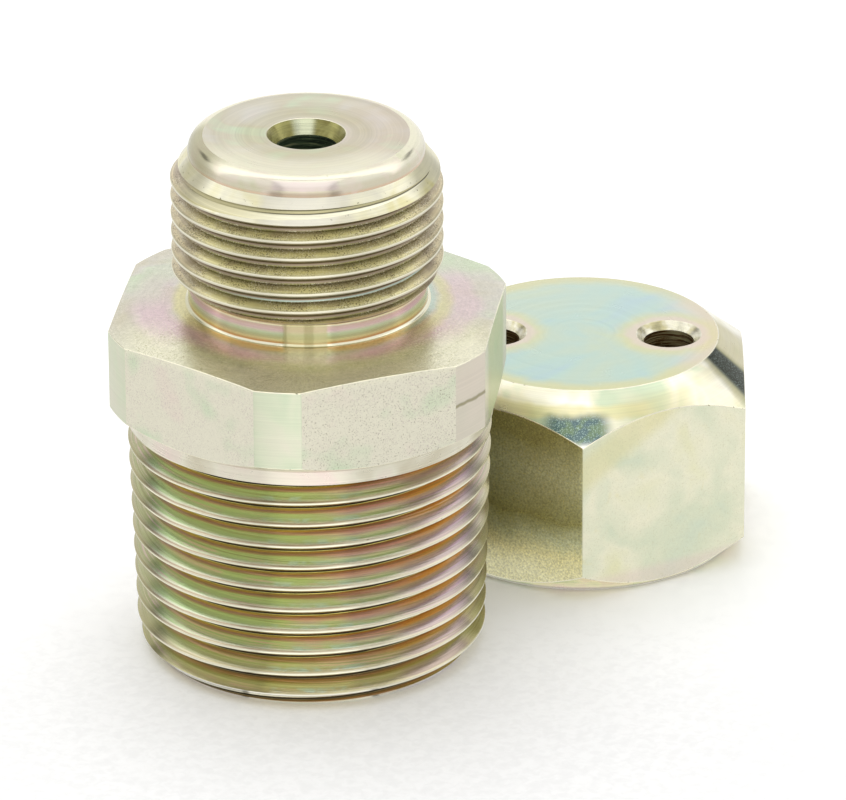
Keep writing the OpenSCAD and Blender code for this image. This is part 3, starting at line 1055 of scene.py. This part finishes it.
# Cap
@dataclass
class Cap:
    """The loose hexagon cap with its threaded socket."""

    x: float = 25.78
    y: float = 23.82
    flats: float = 31.0
    height: float = 20.0
    top: float = 13.1
    slope: float = 39.0
    base: float = 14.95
    base_slope: float = 42.0
    turn: float = 29.4
    wall: float = 4.5
    relief: float = 2.9
    socket_bore: float = 11.8
    vent_offset: float = 8.35
    vent: float = 2.4
    vent_mouth: float = 3.1
    vent_turn: float = -2.2
    edge: float = 0.06
    edge_above: float = 22.0
    thread: Thread = Thread(pitch=1.75, radius=12.7, depth=1.0, crest=0.219, crest_height=10.6,
                            crest_angle=0.0, low=-0.9, high=12.7, steps=96)

    @property
    def axis(self) -> Axis:
        """The cap's axis in metres."""
        return Axis(self.x * MM, self.y * MM)

    @property
    def floor(self) -> float:
        """Height of the socket's flat end, on which the body's nose seats."""
        return self.height - self.wall

    def vents(self) -> list[tuple[float, float]]:
        """The vent holes' places about the cap's axis, in millimetres."""
        turn = math.radians(self.vent_turn)
        return [(side * self.vent_offset * math.cos(turn), side * self.vent_offset * math.sin(turn))
                for side in (1, -1)]

    def zone(self, place: Vector, normal: Vector) -> str:
        """Names the finish of a face."""
        radius, height = math.hypot(place.x, place.y), place.z
        away = min((place.xy - Vector(vent)).length for vent in self.vents())
        if height > self.floor + 0.01 and away < self.vent_mouth + 0.01 and normal.z < 0.99:
            return "mouth" if height > self.height - self.vent_mouth + self.vent else "vent"
        if height > self.height - TOUCH:
            return "top"
        if radius < self.thread.radius + 0.4 and TOUCH < height < self.floor + 0.01:
            return "socket"
        if height < TOUCH:
            return "base"
        if abs(normal.z) < 0.01:
            return "flats"
        if abs(normal.z - math.cos(math.radians(self.slope))) < 0.02:
            return "chamfer"
        if abs(normal.z + math.cos(math.radians(self.base_slope))) < 0.02:
            return "foot"
        return "bright_edge"

    def build(self) -> Piece:
        """Makes the whole cap as one closed piece."""
        corner = corner_reach(self.flats) + 1
        piece = Bench.prism("cap hexagon", self.flats, 0, self.height, self.turn)
        stock = Bench.turned("stock", [
            (0, 0), (self.base, 0), (corner, (corner - self.base) * math.tan(math.radians(self.base_slope))),
            (corner, self.height - (corner - self.top) * math.tan(math.radians(self.slope))),
            (self.top, self.height), (0, self.height)], 256)
        Bench.combine(piece, stock, "INTERSECT")
        Bench.tidy(piece)
        Bench.soften(piece, self.edge, self.edge_above)
        foot = self.floor - self.relief
        mouth = self.thread.radius + 0.35
        relief = self.thread.radius + 0.25
        socket = Bench.turned("socket", [
            (0, -1), (mouth + 1, -1), (self.socket_bore, mouth - self.socket_bore), (self.socket_bore, foot),
            (relief, foot), (relief, self.floor), (0, self.floor)], 192)
        Bench.combine(piece, socket, "DIFFERENCE")
        lip = self.vent_mouth + 0.06
        for vent in self.vents():
            drill = Bench.turned("drill", [
                (0, self.floor - 1), (self.vent, self.floor - 1),
                (self.vent, self.height - self.vent_mouth + self.vent),
                (self.vent_mouth - 0.05, self.height - 0.05), (lip, self.height + 0.01),
                (lip, self.height + 1), (0, self.height + 1)], 64)
            Bench.settle(drill, 0.0, *vent)
            Bench.combine(piece, drill, "DIFFERENCE")
        cutter = self.thread.rod("socket thread")
        stock = Bench.turned("stock", [
            (0, -1.2), (mouth + 1, -1.2), (mouth + 1, foot + 0.4), (0, foot + 0.4)], turn=0.3)
        Bench.combine(cutter, stock, "INTERSECT")
        Bench.combine(piece, cutter, "DIFFERENCE")
        Bench.settle(piece, 0.0, self.x, self.y)
        piece.name = "hexagon_cap"
        return piece


BODY = Body()
CAP = Cap()

BODY_FINISHES = {
    "nose_face": Finish("turned nose face", nose_face, 0.27, 0.8, 0.7, 0.22, faced=True),
    "nose_side": Finish("nose side", nose_side, 0.16, 0.8, 0.4, 0.10),
    "lead_in": Finish("lead-in chamfer", lead_in, 0.36, 0.75, 0.5, 0.12),
    "upper_flanks": Finish("parallel thread", upper_flanks, 0.28, 0.75, 0.5, 0.08, 0.8, 0.16),
    "neck": Finish("undercut neck", neck, 0.14, 0.85, 0.4, 0.12),
    "flange_face": Finish("faced flange", flange_face, 0.20, 0.75, 0.2, 0.2, 1.0, 0.14, True),
    "flats": Finish("drawn flats", flats, 0.38, 0.6, grain=1.0, grain_size=0.16),
    "corners": Finish("turned corners", corners, 0.42, 0.65, 0.3, 0.12),
    "collar": Finish("cone and collar", collar, 0.26, 0.7, 0.6, 0.12),
    "pipe_flanks": Finish("taper thread", pipe_flanks, 0.17, 0.8, 0.7, 0.08),
    "bright_edge": Finish("bright edges", bright_edge, 0.2, 0.8),
    "mouth": Finish("bore countersink", countersink, 0.2, 0.8, 0.8, 0.12),
    "bore": Finish("bore wall", bore_wall, 0.35, 0.7, 0.8, 0.3),
    "base": Finish("faced base", base_ring, 0.3, 0.75, 0.7, 0.3, faced=True),
}

CAP_FINISHES = {
    "top": Finish("cap top", cap_top, 0.24, 0.75, 0.15, 0.3, faced=True),
    "chamfer": Finish("cap chamfer", cap_chamfer, 0.28, 0.75, 0.5, 0.10, 0.3, 0.14),
    "flats": Finish("cap flats", cap_flats, 0.34, 0.6, grain=0.9, grain_size=0.2),
    "foot": Finish("cap lower chamfer", cap_foot, 0.26, 0.75, 0.5, 0.12),
    "base": Finish("cap base", base_ring, 0.3, 0.75, 0.7, 0.3, faced=True),
    "vent": Finish("vent hole wall", vent_wall, 0.3, 0.7, 0.8, 0.2),
    "mouth": Finish("vent countersink", vent_mouth, 0.2, 0.8, 0.8, 0.12),
    "socket": Finish("cap socket", bore_wall, 0.3, 0.75, 0.6, 0.3),
    "bright_edge": Finish("cap edges", bright_edge, 0.2, 0.8),
}


def dress(piece: Piece, axis: Axis, finishes: dict[str, Finish], zone: Callable) -> None:
    """Gives each face of a piece the finish of its zone.

    Args:
        piece: The piece.
        axis: Its axis.
        finishes: A finish for each zone's name.
        zone: Names a zone from a face's place about the axis, in millimetres, and its normal.
    """
    names = list(finishes)
    for finish in finishes.values():
        piece.data.materials.append(finish.material(axis))
    for face in piece.data.polygons:
        x, y, z = (value / MM for value in face.center)
        place = Vector((x - axis.x / MM, y - axis.y / MM, z))
        face.material_index = names.index(zone(place, face.normal))


def smooth(piece: Piece) -> None:
    """Shades a piece smooth, except over its sharper edges."""
    Bench.pick(piece)
    bpy.ops.object.shade_smooth_by_angle(angle=math.radians(SMOOTH_BELOW))


# Studio
@dataclass
class Studio:
    """Floor, light and camera: focal length in pixels, angles in degrees, camera's place in millimetres."""

    sensor: float = 36.0
    photo_width: float = 846.0
    focal: float = 8081.4
    pitch: float = 24.945
    roll: float = -0.293
    place: tuple[float, float, float] = (10.557, -680.506, 340.597)
    fill: float = 1.0
    paper_white: float = 0.07
    mirrored_wall: float = 1.02
    top_card: float = 0.6
    mirrored_floor: float = 1.04
    front_card: float = 0.5
    frame_dark: float = 0.55
    floor_size: float = 6.0
    key_place: tuple[float, float, float] = (-0.10, 0.22, 0.65)
    key_target: tuple[float, float, float] = (0.01, 0.0, 0.02)
    key_size: float = 0.5
    key_power: float = 1.0

    def camera(self) -> None:
        """Adds the camera at the photograph's angle."""
        data = bpy.data.cameras.new("camera")
        data.sensor_fit = "HORIZONTAL"
        data.sensor_width = self.sensor
        data.lens = self.focal * self.sensor / self.photo_width
        data.clip_start, data.clip_end = 0.05, 10.0
        camera = bpy.data.objects.new("camera", data)
        bpy.context.scene.collection.objects.link(camera)
        camera.matrix_world = (Matrix.Translation(Vector(self.place) * MM)
                               @ Matrix.Rotation(math.radians(90 - self.pitch), 4, "X")
                               @ Matrix.Rotation(math.radians(self.roll), 4, "Z"))
        bpy.context.scene.camera = camera

    def key(self) -> None:
        """Adds the soft square lamp, in metres and watts."""
        data = bpy.data.lights.new("key", "AREA")
        data.shape = "SQUARE"
        data.size = self.key_size
        data.energy = self.key_power
        lamp = bpy.data.objects.new("key", data)
        bpy.context.scene.collection.objects.link(lamp)
        lamp.location = self.key_place
        lamp.visible_glossy = False
        aim = Vector(self.key_target) - Vector(self.key_place)
        lamp.rotation_euler = aim.to_track_quat("-Z", "Y").to_euler()

    def floor(self) -> None:
        """Adds the white paper; mirrored in metal it is brightest straight in front."""
        Bench.clear()
        bpy.ops.mesh.primitive_plane_add(size=self.floor_size, location=(0, 0, 0))
        floor = bpy.context.object
        floor.name = "floor"
        nodes, material = Nodes.for_material("white paper")
        spot = Surface(nodes, Axis())
        # Fine paper grain, and a faint grey band in front of the pieces, which is a painted shadow
        grain = spot.blots(0.9, 1.0).step(0.3, 0.7) * 0.06 + 0.94
        grain = grain - spot.y.hump(-34.0, 8.0, 44.0) * 0.11
        camera = nodes.make("ShaderNodeLightPath", {}, {}, "Is Camera Ray")
        paper = nodes.make("ShaderNodeBsdfPrincipled", {}, {
            "Base Color": nodes.grey(grain), "Roughness": 0.7,
            "Emission Color": nodes.grey(camera * self.paper_white), "Emission Strength": 1.0})
        near = spot.radius.step(14.0, 30.0) * 0.2 + 0.8
        aside = spot.angle * 360.0 - FRONT
        frame_edge = aside.hump(24.5, 0.6, 1.2) + aside.hump(-24.5, 0.6, 1.2)
        bright = (spot.sector(FRONT, 22, 1.5) * self.front_card + self.mirrored_floor) * near
        bright = bright * (1.0 - frame_edge * self.frame_dark)
        seen = nodes.make("ShaderNodeEmission", {}, {"Color": nodes.grey(bright)})
        glossy = nodes.make("ShaderNodeLightPath", {}, {}, "Is Glossy Ray")
        nodes.end(nodes.make("ShaderNodeMixShader", {}, {0: glossy, 1: paper, 2: seen}))
        floor.data.materials.append(material)

    def world(self) -> None:
        """Sets a white surround; mirrored in metal it has a card in front, a bright top and dark gaps."""
        world = bpy.data.worlds.new("white surround")
        bpy.context.scene.world = world
        world.use_nodes = True
        nodes = Nodes(world.node_tree)
        x, y, z = nodes.split(nodes.make("ShaderNodeTexCoord", {}, {}, "Generated"))
        # Angles in degrees from the back, above the floor, and over the top from the front
        degrees = 180 / math.pi
        aside = (x.maths("ARCTAN2", y) * degrees).maths("ABSOLUTE")
        rise = z.maths("ARCSINE") * degrees
        gap = aside.hump(44.0, 10.0, 4.0) * rise.hump(29.5, 3.0, 3.0)
        over = z.maths("ARCTAN2", 0.0 - y) * degrees
        across = x.maths("ABSOLUTE")
        within = across.step(0.36, 0.34)
        card = within * over.step(88.0, 86.0)
        border = across.hump(0.39, 0.01, 0.02) * over.step(92.0, 88.0)
        lintel = within * over.hump(90.0, 1.2, 1.6)
        top = over.step(90.0, 94.0) * over.step(140.0, 112.0)
        dark = 1.0 - gap * 0.85 - (border + lintel) * self.frame_dark
        mirrored = (top * self.top_card + card * self.front_card + self.mirrored_wall) * dark
        camera = nodes.make("ShaderNodeLightPath", {}, {}, "Is Camera Ray")
        glossy = nodes.make("ShaderNodeLightPath", {}, {}, "Is Glossy Ray")
        unseen = glossy * mirrored + (1.0 - glossy) * self.fill
        level = camera + (1.0 - camera) * unseen
        nodes.surface("ShaderNodeBackground", {"Color": nodes.grey(level)})

    def build(self) -> None:
        """Makes everything."""
        self.camera()
        self.floor()
        self.world()
        self.key()


def make(maker: "Body | Cap", node: str, finishes: dict[str, Finish]) -> None:
    """Builds, dresses and registers one piece."""
    piece = maker.build()
    smooth(piece)
    dress(piece, maker.axis, finishes, maker.zone)
    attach(piece, "root")
    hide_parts(node)
    log.info("%s: %d faces", piece.name, len(piece.data.polygons))


def main() -> None:
    """Builds the fitting and its studio."""
    logging.basicConfig(level=logging.INFO)
    Studio().build()
    make(BODY, "body", BODY_FINISHES)
    make(CAP, "cap", CAP_FINISHES)
    bpy.context.scene.view_settings.view_transform = "Standard"


if __name__ == "__main__":
    main()
